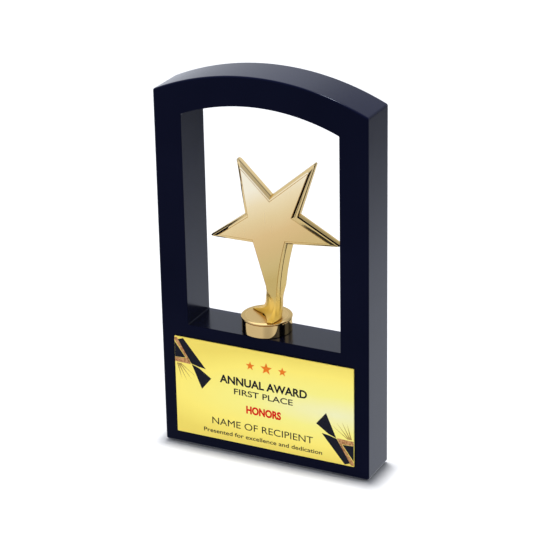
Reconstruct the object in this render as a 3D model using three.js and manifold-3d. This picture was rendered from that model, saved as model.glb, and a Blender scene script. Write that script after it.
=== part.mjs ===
// Star trophy: an arched black wooden frame on a hollow plinth, with a gold star figure standing in
// its window and a printed plate on its plinth.
// Millimetres, +Z up, the front faces -Y. The origin is the centre of the face it rests on.
import * as THREE from "three";
import { mergeVertices } from "three/addons/utils/BufferGeometryUtils.js";
import Module from "manifold-3d";

const wasm = await Module();
wasm.setup();

// Felt under the frame
const FELT_THICKNESS = 1;
const FELT_INSET = 2;

// Frame, with heights measured from the frame's own underside
const FRAME_WIDTH = 140;
const FRAME_DEPTH = 29;
const SHOULDER_HEIGHT = 232.7;
const ARCH_RISE = 15.4;
const STILE_WIDTH = 18.5;
const STILE_HEIGHT = 198;
const WINDOW_SHOULDER_HEIGHT = 219.3;
const WINDOW_RISE = 10.3;
const SILL_HEIGHT = 82.3;
const SILL_THICKNESS = 12;
const PANEL_THICKNESS = 6;
const BOTTOM_THICKNESS = 9;
const GLUE_BLOCK_WIDTH = 12;
const GLUE_BLOCK_HEIGHT = 36;
const GLUE_LINE = 0.1;

// Dowels and screws
const DOWEL_RADIUS = 3;
const DOWEL_SPACING = 14;
const HEAD_DOWEL_LENGTH = 30;
const SILL_DOWEL_LENGTH = 24;
const HOLE_CLEARANCE = 0.2;
const SCREW_SHANK_RADIUS = 1.6;
const SCREW_HEAD_RADIUS = 3.2;
const SCREW_HEAD_HEIGHT = 2;
const SCREW_LENGTH = 22;
const SCREW_SPACING = 8;

// Round foot of the figure
const DISC_RADIUS = 15.9;
const DISC_HEIGHT = 9.7;
const DISC_EDGE = 0.5;
const DISC_OFFSET = -4.2;

// Star figure, with heights measured from the top of the disc and widths from the bolt's axis
const STAR_TURN = THREE.MathUtils.degToRad(8);
const BEVEL_WIDTH = 2.4;
const STEM_LEFT_BEVEL_WIDTH = 1.2;
const STEM_RIGHT_BEVEL_WIDTH = 3;
// From the face to the back: the depth behind the middle, and how far out the star's and the stem's
// sides stand there, as a share of their bevel's width.
const STAR_PROFILE = [
  { depth: -5, star: 0, stem: 0 },
  { depth: -3, star: 1, stem: 1 },
  { depth: 0.5, star: 1, stem: 1 },
  { depth: 3.5, star: 0.5, stem: 1 },
  { depth: 5, star: 0, stem: 0.85 },
];
const UPPER_NOTCH = [0.6, 75.7];
const UPPER_LEFT_TIP = [-17.2, 95];
const LEFT_NOTCH = [-13, 64.8];
const LEFT_TIP = [-31.4, 51.6];
const LOWER_LEFT_NOTCH = [-10.5, 50.4];
const LOWER_RIGHT_NOTCH = [9.8, 51.6];
const RIGHT_TIP = [36.9, 52.9];
const RIGHT_NOTCH = [13.8, 66.6];
const UPPER_RIGHT_TIP = [24.7, 95.8];
const STEM_LEFT = [-2.1, 20];
const STEM_RIGHT = [4.2, 20];
const STEM_WAIST = [5.6, 36];
const STEM_STEPS = 5;
const LEFT_SIDE = [UPPER_NOTCH, UPPER_LEFT_TIP, LEFT_NOTCH, LEFT_TIP, LOWER_LEFT_NOTCH, STEM_LEFT];
const STEM_LEFT_SIDE = LEFT_SIDE.length - 2;
const NECK_SIDE = STEM_LEFT_SIDE + 1;
const FOOT_STEPS = 8;
const FOOT_FLARE = 3.2;
const FOOT_RIM = 1.2;

// Corners of the stem's waist and of its foot, counter-clockwise from the front right. Each has two
// for every step of the star's profile: the right side from front to back, then the left side.
const WAIST_HEIGHT = 10;
const WAIST_CORNERS = [
  [3.5, -5],
  [6.3, -3.2],
  [6.3, 0.3],
  [5.7, 3.2],
  [3.3, 5],
  [-1.8, 5],
  [-4.6, 3.9],
  [-5, 1.5],
  [-3.2, -2],
  [2.4, -5],
];
const FOOT_CORNERS = [
  [3.8, -12.4],
  [5.7, -7.2],
  [6.2, -2.4],
  [5.4, 1.1],
  [3.6, 4.6],
  [-2, 6.8],
  [-11.4, 9.9],
  [-14.8, 7.2],
  [-5.2, -0.8],
  [0.4, -12.6],
];

// Bolt that holds the figure and the disc on the sill
const BOLT_RADIUS = 2.5;
const BOLT_DEPTH_IN_FIGURE = 8;
const BOLT_HEAD_ACROSS_CORNERS = 9.2;
const BOLT_HEAD_HEIGHT = 3.5;
const BOLT_HEAD_SIDES = 6;
const WASHER_RADIUS = 6;
const WASHER_THICKNESS = 1;

// Plate on the plinth
const PLATE_WIDTH = 121.5;
const PLATE_HEIGHT = 65.6;
const PLATE_BOTTOM = 8.2;
const PLATE_THICKNESS = 0.8;
const ADHESIVE_THICKNESS = 0.3;
const ADHESIVE_INSET = 1;

const HALF_WIDTH = FRAME_WIDTH / 2;
const HALF_DEPTH = FRAME_DEPTH / 2;
const WINDOW_HALF = HALF_WIDTH - STILE_WIDTH;
const BOX_HALF_DEPTH = HALF_DEPTH - PANEL_THICKNESS;
const SILL_UNDERSIDE = SILL_HEIGHT - SILL_THICKNESS;
const ROUND_SIDES = 20;
const DISC_SIDES = 64;
const ARC_SEGMENTS = 28;

const PAINTED_WOOD = { color: 0x14141f, roughness: 0.42, metalness: 0 };
const BARE_WOOD = { color: 0xc39a68, roughness: 0.8, metalness: 0 };
const GOLD = { color: 0xe3c178, roughness: 0.22, metalness: 1 };
const STEEL = { color: 0xb8bcc2, roughness: 0.35, metalness: 1 };
const PRINTED_PLATE = { color: 0xf0dc78, roughness: 0.35, metalness: 0.2 };
const ADHESIVE = { color: 0xe8e8e4, roughness: 0.9, metalness: 0 };
const FELT = { color: 0x101012, roughness: 1, metalness: 0 };

// ---------------------------------------------------------------- solids

function toSolid(geometry) {
  const bare = geometry.clone();
  bare.deleteAttribute("normal");
  bare.deleteAttribute("uv");
  const merged = mergeVertices(bare, 1e-4);
  const vertProperties = new Float32Array(merged.attributes.position.array);
  const triVerts = new Uint32Array(merged.index.array);
  return new wasm.Manifold(new wasm.Mesh({ numProp: 3, vertProperties, triVerts }));
}

function toGeometry(solid) {
  const mesh = solid.getMesh();
  const geometry = new THREE.BufferGeometry();
  geometry.setAttribute("position", new THREE.BufferAttribute(mesh.vertProperties, 3));
  geometry.setIndex(new THREE.BufferAttribute(mesh.triVerts, 1));
  geometry.computeVertexNormals();
  return geometry;
}

function cut(geometry, tools) {
  let solid = toSolid(geometry);
  for (const tool of tools) {
    solid = solid.subtract(toSolid(tool));
  }
  return toGeometry(solid);
}

function join(first, second) {
  return toGeometry(toSolid(first).add(toSolid(second)));
}

// A block between two opposite corners.
function block([x0, y0, z0], [x1, y1, z1]) {
  const geometry = new THREE.BoxGeometry(x1 - x0, y1 - y0, z1 - z0);
  return geometry.translate((x0 + x1) / 2, (y0 + y1) / 2, (z0 + z1) / 2);
}

// A round rod centred on (x, y, z) that lies along "x" or stands along "z".
function rod(radius, length, along, [x, y, z]) {
  const geometry = new THREE.CylinderGeometry(radius, radius, length, ROUND_SIDES);
  if (along === "x") {
    geometry.rotateZ(Math.PI / 2);
  } else {
    geometry.rotateX(Math.PI / 2);
  }
  return geometry.translate(x, y, z);
}

// A solid turned about the Z axis from a closed profile of [radius, height] points.
function turned(profile, sides) {
  const points = profile.map(([radius, height]) => new THREE.Vector2(radius, height));
  return new THREE.LatheGeometry(points, sides).rotateX(Math.PI / 2);
}

// A solid through outlines of equal length, drawn counter-clockwise at rising heights.
function loft(layers) {
  const count = layers[0].outline.length;
  const positions = [];
  for (const { outline, height } of layers) {
    for (const [x, y] of outline) {
      positions.push(x, y, height);
    }
  }
  const indices = [];
  for (let layer = 0; layer < layers.length - 1; layer += 1) {
    for (let i = 0; i < count; i += 1) {
      const a = layer * count + i;
      const b = layer * count + ((i + 1) % count);
      indices.push(a, b, b + count, a, b + count, a + count);
    }
  }
  const top = (layers.length - 1) * count;
  for (const [a, b, c] of capTriangles(layers[0].outline)) {
    indices.push(a, c, b);
  }
  for (const [a, b, c] of capTriangles(layers[layers.length - 1].outline)) {
    indices.push(top + a, top + b, top + c);
  }
  const geometry = new THREE.BufferGeometry();
  geometry.setAttribute("position", new THREE.Float32BufferAttribute(positions, 3));
  geometry.setIndex(indices);
  return geometry;
}

function capTriangles(outline) {
  return THREE.ShapeUtils.triangulateShape(outline.map(([x, y]) => new THREE.Vector2(x, y)), []);
}

// Moves each side of a counter-clockwise outline outwards by its own distance.
function offsetOutline(outline, distances) {
  const count = outline.length;
  const sides = outline.map(([x, y], i) => {
    const [nextX, nextY] = outline[(i + 1) % count];
    const length = Math.hypot(nextX - x, nextY - y);
    const along = [(nextX - x) / length, (nextY - y) / length];
    const start = [x + along[1] * distances[i], y - along[0] * distances[i]];
    return { start, along };
  });
  return sides.map((side, i) => {
    const before = sides[(i + count - 1) % count];
    const cross = before.along[0] * side.along[1] - before.along[1] * side.along[0];
    const gapX = side.start[0] - before.start[0];
    const gapY = side.start[1] - before.start[1];
    const reach = (gapX * side.along[1] - gapY * side.along[0]) / cross;
    return [before.start[0] + before.along[0] * reach, before.start[1] + before.along[1] * reach];
  });
}

// ---------------------------------------------------------------- frame

// The arc that rises by `rise` over a span of twice `half`, from shoulders at `height`.
function archOf(half, rise, height) {
  const radius = (half * half + rise * rise) / (2 * rise);
  return { radius, centre: height + rise - radius, angle: Math.asin(half / radius) };
}

function stile(side) {
  const inner = side * WINDOW_HALF;
  const outer = side * HALF_WIDTH;
  const left = Math.min(inner, outer);
  const right = Math.max(inner, outer);
  const board = block([left, -HALF_DEPTH, 0], [right, HALF_DEPTH, STILE_HEIGHT]);
  return cut(board, [...headDowelHoles(side), ...sillDowelHoles(side)]);
}

function archedHead() {
  const outer = archOf(HALF_WIDTH, ARCH_RISE, SHOULDER_HEIGHT);
  const inner = archOf(WINDOW_HALF, WINDOW_RISE, WINDOW_SHOULDER_HEIGHT);
  const up = Math.PI / 2;
  const foot = STILE_HEIGHT + GLUE_LINE;
  const shape = new THREE.Shape();
  shape.moveTo(-HALF_WIDTH, foot);
  shape.lineTo(-WINDOW_HALF, foot);
  shape.lineTo(-WINDOW_HALF, WINDOW_SHOULDER_HEIGHT);
  shape.absarc(0, inner.centre, inner.radius, up + inner.angle, up - inner.angle, true);
  shape.lineTo(WINDOW_HALF, foot);
  shape.lineTo(HALF_WIDTH, foot);
  shape.lineTo(HALF_WIDTH, SHOULDER_HEIGHT);
  shape.absarc(0, outer.centre, outer.radius, up - outer.angle, up + outer.angle, false);
  shape.closePath();
  const settings = { depth: FRAME_DEPTH, bevelEnabled: false, curveSegments: ARC_SEGMENTS };
  const board = new THREE.ExtrudeGeometry(shape, settings).translate(0, 0, -HALF_DEPTH);
  return cut(board.rotateX(Math.PI / 2), [...headDowelHoles(-1), ...headDowelHoles(1)]);
}

function dowelPlaces(side, x, z) {
  return [-1, 1].map((end) => [side * x, (end * DOWEL_SPACING) / 2, z]);
}

function headDowelPlaces(side) {
  return dowelPlaces(side, HALF_WIDTH - STILE_WIDTH / 2, STILE_HEIGHT);
}

function sillDowelPlaces(side) {
  return dowelPlaces(side, WINDOW_HALF, SILL_HEIGHT - SILL_THICKNESS / 2);
}

function dowelHoles(places, length, along) {
  const radius = DOWEL_RADIUS + HOLE_CLEARANCE;
  return places.map((place) => rod(radius, length + 2 * HOLE_CLEARANCE, along, place));
}

function headDowelHoles(side) {
  return dowelHoles(headDowelPlaces(side), HEAD_DOWEL_LENGTH, "z");
}

function sillDowelHoles(side) {
  return dowelHoles(sillDowelPlaces(side), SILL_DOWEL_LENGTH, "x");
}

function sillBoard() {
  const half = WINDOW_HALF - GLUE_LINE;
  const board = block([-half, -HALF_DEPTH, SILL_UNDERSIDE], [half, HALF_DEPTH, SILL_HEIGHT]);
  const middle = SILL_HEIGHT - SILL_THICKNESS / 2;
  const boltHole = rod(BOLT_RADIUS + HOLE_CLEARANCE, 2 * SILL_THICKNESS, "z", [0, 0, middle]);
  return cut(board, [...sillDowelHoles(-1), ...sillDowelHoles(1), boltHole]);
}

// The front and rear panels of the plinth; side is -1 for the front and 1 for the rear.
function plinthPanel(side) {
  const half = WINDOW_HALF - GLUE_LINE;
  const near = Math.min(side * BOX_HALF_DEPTH, side * HALF_DEPTH);
  const far = Math.max(side * BOX_HALF_DEPTH, side * HALF_DEPTH);
  return block([-half, near, 0], [half, far, SILL_UNDERSIDE - GLUE_LINE]);
}

function bottomBoard() {
  const half = WINDOW_HALF - GLUE_LINE;
  const halfDepth = BOX_HALF_DEPTH - GLUE_LINE;
  const board = block([-half, -halfDepth, 0], [half, halfDepth, BOTTOM_THICKNESS]);
  return cut(board, [...screwHoles(-1), ...screwHoles(1)]);
}

function glueBlock(side) {
  const outer = WINDOW_HALF - GLUE_LINE;
  const inner = outer - GLUE_BLOCK_WIDTH;
  const halfDepth = BOX_HALF_DEPTH - GLUE_LINE;
  const left = Math.min(side * inner, side * outer);
  const right = Math.max(side * inner, side * outer);
  const low = BOTTOM_THICKNESS + GLUE_LINE;
  const wood = block([left, -halfDepth, low], [right, halfDepth, low + GLUE_BLOCK_HEIGHT]);
  return cut(wood, screwHoles(side));
}

function screwPlaces(side) {
  const x = side * (WINDOW_HALF - GLUE_LINE - GLUE_BLOCK_WIDTH / 2);
  return [-1, 1].map((end) => [x, (end * SCREW_SPACING) / 2, 0]);
}

// A countersunk wood screw with its head at z = 0 and its point up.
function screwProfile(grow) {
  return [
    [0, 0],
    [SCREW_HEAD_RADIUS + grow, 0],
    [SCREW_SHANK_RADIUS + grow, SCREW_HEAD_HEIGHT + grow],
    [SCREW_SHANK_RADIUS + grow, SCREW_LENGTH - 2 * SCREW_SHANK_RADIUS + grow],
    [0, SCREW_LENGTH + grow],
  ];
}

function screwHoles(side) {
  return screwPlaces(side).map((place) => screw(place, HOLE_CLEARANCE));
}

function screw([x, y, z], grow = 0) {
  return turned(screwProfile(grow), ROUND_SIDES).translate(x, y, z);
}

function feltPad() {
  const half = HALF_WIDTH - FELT_INSET;
  const halfDepth = HALF_DEPTH - FELT_INSET;
  return block([-half, -halfDepth, 0], [half, halfDepth, FELT_THICKNESS - GLUE_LINE]);
}

// ---------------------------------------------------------------- figure

// The face's outline down to the narrow neck, counter-clockwise from the upper notch.
function starOutline() {
  const stemEdge = new THREE.QuadraticBezierCurve(
    new THREE.Vector2(...STEM_RIGHT),
    new THREE.Vector2(...STEM_WAIST),
    new THREE.Vector2(...LOWER_RIGHT_NOTCH),
  );
  const stemRight = stemEdge.getPoints(STEM_STEPS).map((point) => [point.x, point.y]);
  return [...LEFT_SIDE, ...stemRight, RIGHT_TIP, RIGHT_NOTCH, UPPER_RIGHT_TIP];
}

// How far each side of the face's outline stands out at one step of the profile.
function sideDistances({ star, stem }) {
  return starOutline().map((_, side) => {
    if (side === NECK_SIDE) {
      return 0;
    }
    if (side === STEM_LEFT_SIDE) {
      return STEM_LEFT_BEVEL_WIDTH * stem;
    }
    const onStemRight = side > NECK_SIDE && side <= NECK_SIDE + STEM_STEPS;
    return onStemRight ? STEM_RIGHT_BEVEL_WIDTH * stem : BEVEL_WIDTH * star;
  });
}

// The star and its stem, down to the neck: a flat face, a bevel, straight sides and a softer back.
function starBody() {
  const face = starOutline();
  const layers = STAR_PROFILE.map((step) => {
    return { outline: offsetOutline(face, sideDistances(step)), height: -step.depth };
  });
  return loft(layers.reverse()).rotateX(Math.PI / 2);
}

// The neck's corners where the star's own outline is cut off, in the order of the foot's corners.
function neckCorners() {
  const right = STAR_PROFILE.map(({ depth, stem }) => {
    return [STEM_RIGHT[0] + STEM_RIGHT_BEVEL_WIDTH * stem, depth];
  });
  const left = STAR_PROFILE.map(({ depth, stem }) => {
    return [STEM_LEFT[0] - STEM_LEFT_BEVEL_WIDTH * stem, depth];
  });
  return [...right, ...left.reverse()];
}

function blend(from, to, share) {
  return from.map(([x, y], i) => [x + (to[i][0] - x) * share, y + (to[i][1] - y) * share]);
}

// The foot rises over a short rim on the disc, sweeps in to the waist, and runs straight to the neck.
function starFoot() {
  const layers = [{ outline: FOOT_CORNERS, height: 0 }];
  for (let step = 0; step <= FOOT_STEPS; step += 1) {
    const height = FOOT_RIM + ((WAIST_HEIGHT - FOOT_RIM) * step) / FOOT_STEPS;
    const share = Math.pow(1 - step / FOOT_STEPS, FOOT_FLARE);
    layers.push({ outline: blend(WAIST_CORNERS, FOOT_CORNERS, share), height });
  }
  layers.push({ outline: neckCorners(), height: STEM_LEFT[1] });
  return loft(layers);
}

function starFigure() {
  const figure = join(starBody(), starFoot());
  const depth = BOLT_DEPTH_IN_FIGURE + HOLE_CLEARANCE;
  return cut(figure, [rod(BOLT_RADIUS + HOLE_CLEARANCE, 2 * depth, "z", [0, 0, 0])]);
}

function starDisc() {
  const body = turned([
    [0, 0],
    [DISC_RADIUS - DISC_EDGE, 0],
    [DISC_RADIUS, DISC_EDGE],
    [DISC_RADIUS, DISC_HEIGHT - DISC_EDGE],
    [DISC_RADIUS - DISC_EDGE, DISC_HEIGHT],
    [0, DISC_HEIGHT],
  ], DISC_SIDES).translate(DISC_OFFSET, 0, 0);
  const hole = rod(BOLT_RADIUS + HOLE_CLEARANCE, 2 * DISC_HEIGHT, "z", [0, 0, DISC_HEIGHT / 2]);
  return cut(body, [hole]);
}

// The bolt stands on its washer under the sill, and ends inside the figure's foot.
function starBolt() {
  const underHead = SILL_UNDERSIDE - GLUE_LINE - WASHER_THICKNESS - GLUE_LINE;
  const tip = SILL_HEIGHT + DISC_HEIGHT + 2 * GLUE_LINE + BOLT_DEPTH_IN_FIGURE;
  const reach = BOLT_HEAD_ACROSS_CORNERS / 2;
  const head = new THREE.CylinderGeometry(reach, reach, BOLT_HEAD_HEIGHT, BOLT_HEAD_SIDES);
  head.rotateX(Math.PI / 2).translate(0, 0, underHead - BOLT_HEAD_HEIGHT / 2);
  const rootInHead = BOLT_HEAD_HEIGHT / 2;
  const length = tip - underHead + rootInHead;
  const shank = rod(BOLT_RADIUS, length, "z", [0, 0, tip - length / 2]);
  return join(head, shank);
}

function boltWasher() {
  const top = SILL_UNDERSIDE - GLUE_LINE;
  const middle = [0, 0, top - WASHER_THICKNESS / 2];
  const ring = rod(WASHER_RADIUS, WASHER_THICKNESS, "z", middle);
  return cut(ring, [rod(BOLT_RADIUS + HOLE_CLEARANCE, 2 * WASHER_THICKNESS, "z", middle)]);
}

// ---------------------------------------------------------------- plate

// A sheet on the front of the plinth, inset from the plate's outline, between two depths.
function frontSheet(inset, near, thickness) {
  const half = PLATE_WIDTH / 2 - inset;
  const back = -HALF_DEPTH - near;
  const low = PLATE_BOTTOM + inset;
  const high = PLATE_BOTTOM + PLATE_HEIGHT - inset;
  return block([-half, back - thickness, low], [half, back, high]);
}

function nameplate() {
  return frontSheet(0, ADHESIVE_THICKNESS + 2 * GLUE_LINE, PLATE_THICKNESS);
}

function plateAdhesive() {
  return frontSheet(ADHESIVE_INSET, GLUE_LINE, ADHESIVE_THICKNESS);
}

// ---------------------------------------------------------------- assembly

function piece(name, geometry, finish) {
  const mesh = new THREE.Mesh(geometry, new THREE.MeshStandardMaterial(finish));
  mesh.name = name;
  return mesh;
}

function addPair(group, stem, places, make) {
  places.forEach((place, i) => {
    group.add(piece(stem + (i === 0 ? "_front" : "_rear"), make(place), BARE_WOOD));
  });
}

function woodenFrame() {
  const group = new THREE.Group();
  group.add(piece("arched_head", archedHead(), PAINTED_WOOD));
  group.add(piece("sill_board", sillBoard(), PAINTED_WOOD));
  group.add(piece("front_panel", plinthPanel(-1), PAINTED_WOOD));
  group.add(piece("rear_panel", plinthPanel(1), PAINTED_WOOD));
  group.add(piece("bottom_board", bottomBoard(), BARE_WOOD));
  for (const [word, side] of [["left", -1], ["right", 1]]) {
    group.add(piece(word + "_stile", stile(side), PAINTED_WOOD));
    group.add(piece("glue_block_" + word, glueBlock(side), BARE_WOOD));
    addPair(group, "head_dowel_" + word, headDowelPlaces(side), (place) =>
      rod(DOWEL_RADIUS, HEAD_DOWEL_LENGTH, "z", place));
    addPair(group, "sill_dowel_" + word, sillDowelPlaces(side), (place) =>
      rod(DOWEL_RADIUS, SILL_DOWEL_LENGTH, "x", place));
    screwPlaces(side).forEach((place, i) => {
      const name = "bottom_screw_" + word + (i === 0 ? "_front" : "_rear");
      group.add(piece(name, screw(place), STEEL));
    });
  }
  return group;
}

function figureOnSill() {
  const group = new THREE.Group();
  group.add(piece("star_bolt", starBolt(), STEEL));
  group.add(piece("bolt_washer", boltWasher(), STEEL));
  const disc = piece("star_disc", starDisc(), GOLD);
  disc.position.z = SILL_HEIGHT + GLUE_LINE;
  const figure = piece("star_figure", starFigure(), GOLD);
  figure.position.z = SILL_HEIGHT + DISC_HEIGHT + 2 * GLUE_LINE;
  figure.rotation.z = STAR_TURN;
  group.add(disc, figure);
  return group;
}

function buildTrophy() {
  const trophy = new THREE.Group();
  const body = new THREE.Group();
  body.position.z = FELT_THICKNESS;
  body.add(woodenFrame(), figureOnSill());
  body.add(piece("nameplate", nameplate(), PRINTED_PLATE));
  body.add(piece("plate_adhesive", plateAdhesive(), ADHESIVE));
  trophy.add(body, piece("felt_pad", feltPad(), FELT));
  return trophy;
}

export default buildTrophy();
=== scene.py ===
import math

import bmesh
import bpy
from mathutils import Matrix, Vector


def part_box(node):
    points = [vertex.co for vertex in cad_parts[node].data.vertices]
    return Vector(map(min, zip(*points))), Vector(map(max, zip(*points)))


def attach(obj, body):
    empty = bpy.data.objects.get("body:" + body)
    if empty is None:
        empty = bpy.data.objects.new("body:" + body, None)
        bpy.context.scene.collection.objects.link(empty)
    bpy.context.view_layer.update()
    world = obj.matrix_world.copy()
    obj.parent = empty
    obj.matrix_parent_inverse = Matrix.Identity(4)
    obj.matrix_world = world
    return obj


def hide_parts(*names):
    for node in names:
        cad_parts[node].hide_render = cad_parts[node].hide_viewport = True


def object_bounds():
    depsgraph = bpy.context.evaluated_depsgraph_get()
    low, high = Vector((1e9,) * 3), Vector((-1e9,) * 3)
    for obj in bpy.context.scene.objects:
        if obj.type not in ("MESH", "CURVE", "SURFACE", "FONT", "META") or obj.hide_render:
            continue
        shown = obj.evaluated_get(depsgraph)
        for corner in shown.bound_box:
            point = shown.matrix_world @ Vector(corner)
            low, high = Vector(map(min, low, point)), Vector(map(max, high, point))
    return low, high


# Star trophy: an arched black wooden frame with a gold star figure in its window and a printed plate.
# Metres, +Z up, the front faces -Y.
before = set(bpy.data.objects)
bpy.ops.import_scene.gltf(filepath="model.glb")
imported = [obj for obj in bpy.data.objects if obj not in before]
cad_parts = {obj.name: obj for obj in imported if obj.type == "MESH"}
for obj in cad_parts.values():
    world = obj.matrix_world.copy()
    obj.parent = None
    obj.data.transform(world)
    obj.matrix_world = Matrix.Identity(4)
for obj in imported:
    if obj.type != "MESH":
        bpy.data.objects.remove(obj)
cad_low, cad_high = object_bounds()

MM = 0.001
BODY = "root"

# Points this close are one point, measures this small are nothing, and so is the turn between two sides
WELD_REACH = 1e-6
TINY = 1e-7
STRAIGHT = 1e-6

# Painted frame: how far its edges are rounded
OUTER_EDGE_RADIUS = 1.1 * MM
OUTER_CORNER_RADIUS = 1.6 * MM
WINDOW_EDGE_RADIUS = 0.45 * MM
WINDOW_CORNER_RADIUS = 0.6 * MM
EDGE_STEPS = 5
CORNER_STEPS = 5

# How far the arch of the head and that of the window rise, and half the width of a glue line
ARCH_STEPS = 40
ARCH_RISE = 15.4 * MM
WINDOW_RISE = 10.3 * MM
SEAM = 0.05 * MM

# Star figure: heights above the disc and widths from the bolt's axis, in millimetres
STAR_TURN = math.radians(8)
UPPER_NOTCH = (0.6, 75.7)
UPPER_LEFT_TIP = (-17.2, 95)
LEFT_NOTCH = (-13, 64.8)
LEFT_TIP = (-31.4, 51.6)
LOWER_LEFT_NOTCH = (-10.5, 50.4)
STEM_LEFT = (-2.1, 20)
STEM_RIGHT = (4.2, 20)
STEM_WAIST = (5.6, 36)
LOWER_RIGHT_NOTCH = (9.8, 51.6)
RIGHT_TIP = (36.9, 52.9)
RIGHT_NOTCH = (13.8, 66.6)
UPPER_RIGHT_TIP = (24.7, 95.8)
STEM_STEPS = 12

# Where the steeper bevel at a tip ends and the next kind begins, as shares of the side from that tip
STEEP_FROM_LEFT_TIP = (0.30, 0.36)
STEEP_FROM_UPPER_TIP = (0.30, 0.38)

# The tips, the corners that turn more than TIP_TURN, are rounded: least on the face, and fully from where
# the plain sides stand out by FULL_ROUND_WIDTH.
UPPER_TIP_RADIUS = 0.8
SIDE_TIP_RADIUS = 0.3
FACE_TIP_RADIUS = 0.25
FULL_ROUND_WIDTH = 1.7
TIP_STEPS = 4
TIP_TURN = math.radians(100)

# From the face to the back, past a fine groove, a lip, a bevel and a ledge: the depth behind the middle,
# how far each kind of side stands out there, and how much further the sides reach at the right notch.
PROFILE_SIDES = ["plain", "left_side", "right_side", "steep", "notch", "stem_top", "stem_neck", "stem_left"]
STAR_PROFILE = [
    (-5.00, 0.00, 0.00, 0.00, 0.00, 0.0, 0.00, 0.00, 0.00),
    (-4.75, 0.14, 0.12, 0.22, 0.20, 0.0, 0.22, 0.14, 0.08),
    (-4.93, 0.34, 0.26, 0.30, 0.30, 0.0, 0.34, 0.32, 0.18),
    (-4.92, 1.05, 0.34, 0.32, 0.34, 0.0, 0.40, 0.50, 0.22),
    (-3.85, 2.10, 0.66, 1.28, 1.20, 0.0, 1.67, 1.77, 0.42),
    (-3.80, 2.13, 0.72, 1.60, 1.24, 0.1, 1.70, 1.80, 0.46),
    (-3.55, 2.20, 0.90, 1.82, 1.44, 0.1, 1.92, 2.02, 0.60),
    (-3.48, 2.22, 1.20, 1.98, 1.70, 1.2, 1.95, 2.05, 0.66),
    (-2.90, 2.32, 2.20, 2.25, 2.00, 1.5, 2.10, 2.13, 1.08),
    (-2.60, 2.37, 2.34, 2.34, 2.20, 1.6, 2.18, 2.18, 1.16),
    (-2.20, 2.40, 2.40, 2.40, 2.36, 1.7, 2.29, 2.24, 1.20),
    (0.50, 2.40, 2.40, 2.40, 2.40, 2.0, 3.00, 2.70, 1.20),
    (2.20, 2.10, 2.10, 2.10, 2.10, 2.0, 3.45, 2.98, 1.20),
    (3.50, 1.50, 1.50, 1.50, 1.50, 1.6, 3.80, 3.20, 1.10),
    (4.70, 0.60, 0.60, 0.60, 0.60, 0.8, 3.80, 3.20, 0.70),
    (5.00, 0.00, 0.00, 0.00, 0.00, 0.0, 3.20, 2.70, 0.00),
]

# All that lies in front of this depth, the face and its lip, is satin.
SATIN_DEPTH = -4.9

# The stem's waist and its foot on the disc: the right side from front to back, and the left side. The
# waist's points belong to these depths of the profile.
WAIST_HEIGHT = 10
WAIST_DEPTHS = [-5, -3, 0.5, 3.5, 5]
WAIST_RIGHT = [(3.5, -5), (6.3, -3.2), (6.3, 0.3), (5.7, 3.2), (3.3, 5)]
WAIST_LEFT = [(2.4, -5), (-2.4, -2.6), (-5, 1.5), (-4.6, 3.9), (-1.8, 5)]
FOOT_RIGHT = [(3.8, -12.4), (5.7, -7.2), (6.2, -2.4), (5.4, 1.1), (3.6, 4.6)]
FOOT_LEFT = [(0.4, -12.6), (-1.8, -7.2), (-5.8, -0.2), (-13.2, 4.8), (-14.8, 6.3), (-11.5, 8.6), (-3, 7)]

# The foot has a low upright rim and then draws in to the waist, the sooner the higher the flare is. Its
# steps are finest near the disc. Above the soft height, edges that turn more than the sharp angle are sharp.
FOOT_RIM = 0.6
FOOT_FLARE = 2.7
FOOT_STEPS = 24
FOOT_STEP_GROWTH = 1.6
NECK_STEPS = 10
SOFT_HEIGHT = 9
SHARP_ANGLE = 28

# Gold disc: a groove under its rim, a small round on the rim, and a shoulder that rises to the flat top
DISC_BORE_RADIUS = 2.7 * MM
DISC_SIDE_INSET = 0.35 * MM
DISC_FOOT_BEVEL = 0.3 * MM
GROOVE_DEPTH = 2.0 * MM
GROOVE_TOP = 0.95 * MM
GROOVE_FOOT = 1.6 * MM
GROOVE_BEVEL = 0.15 * MM
RIM_RADIUS = 0.4 * MM
RIM_DROP = 0.30 * MM
RIM_START = math.radians(-20)
RIM_SWEEP = math.radians(98)
RIM_STEPS = 5
SHOULDER_WIDTH = 3.2 * MM
SHOULDER_STEPS = 6
DISC_SIDES = 160
DISC_SHARP_ANGLE = 40

# Plate: its rounded corners and front edge, its print, and how deep the small stars are cut in
PLATE_CORNER_RADIUS = 0.4 * MM
PLATE_CORNER_STEPS = 3
PLATE_EDGE_RADIUS = 0.12 * MM
PLATE_EDGE_STEPS = 2
PRINT_THICKNESS = 0.04 * MM
SMALL_STAR_INNER = 0.42

# Gold: the tint of its reflections at a low angle, and the height up to which the cast foot is dull and
# painted a deeper yellow, a painted reflection of the gold in itself
GOLD_RIM_TINT = (0.94, 0.87, 0.68, 1)
FOOT_DULL_AND_REFLECTION_HEIGHT = 5 * MM


# ---------------------------------------------------------------- meshes

def link(name, bm, materials, smooth_angle=35, soft_below=-1.0):
    """Makes an object of a finished bmesh, smooth apart from its sharp edges above a height."""
    bmesh.ops.recalc_face_normals(bm, faces=bm.faces)
    for face in bm.faces:
        face.smooth = True
    for edge in bm.edges:
        soft = all(v.co.z < soft_below for v in edge.verts)
        edge.smooth = soft or edge.calc_face_angle(0) < math.radians(smooth_angle)
    mesh = bpy.data.meshes.new(name)
    bm.to_mesh(mesh)
    bm.free()
    for material in materials:
        mesh.materials.append(material)
    made = bpy.data.objects.new(name, mesh)
    bpy.context.scene.collection.objects.link(made)
    return made


def settle(made):
    """Applies an object's modifiers."""
    graph = bpy.context.evaluated_depsgraph_get()
    mesh = bpy.data.meshes.new_from_object(made.evaluated_get(graph))
    made.modifiers.clear()
    made.data = mesh
    return made


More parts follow.
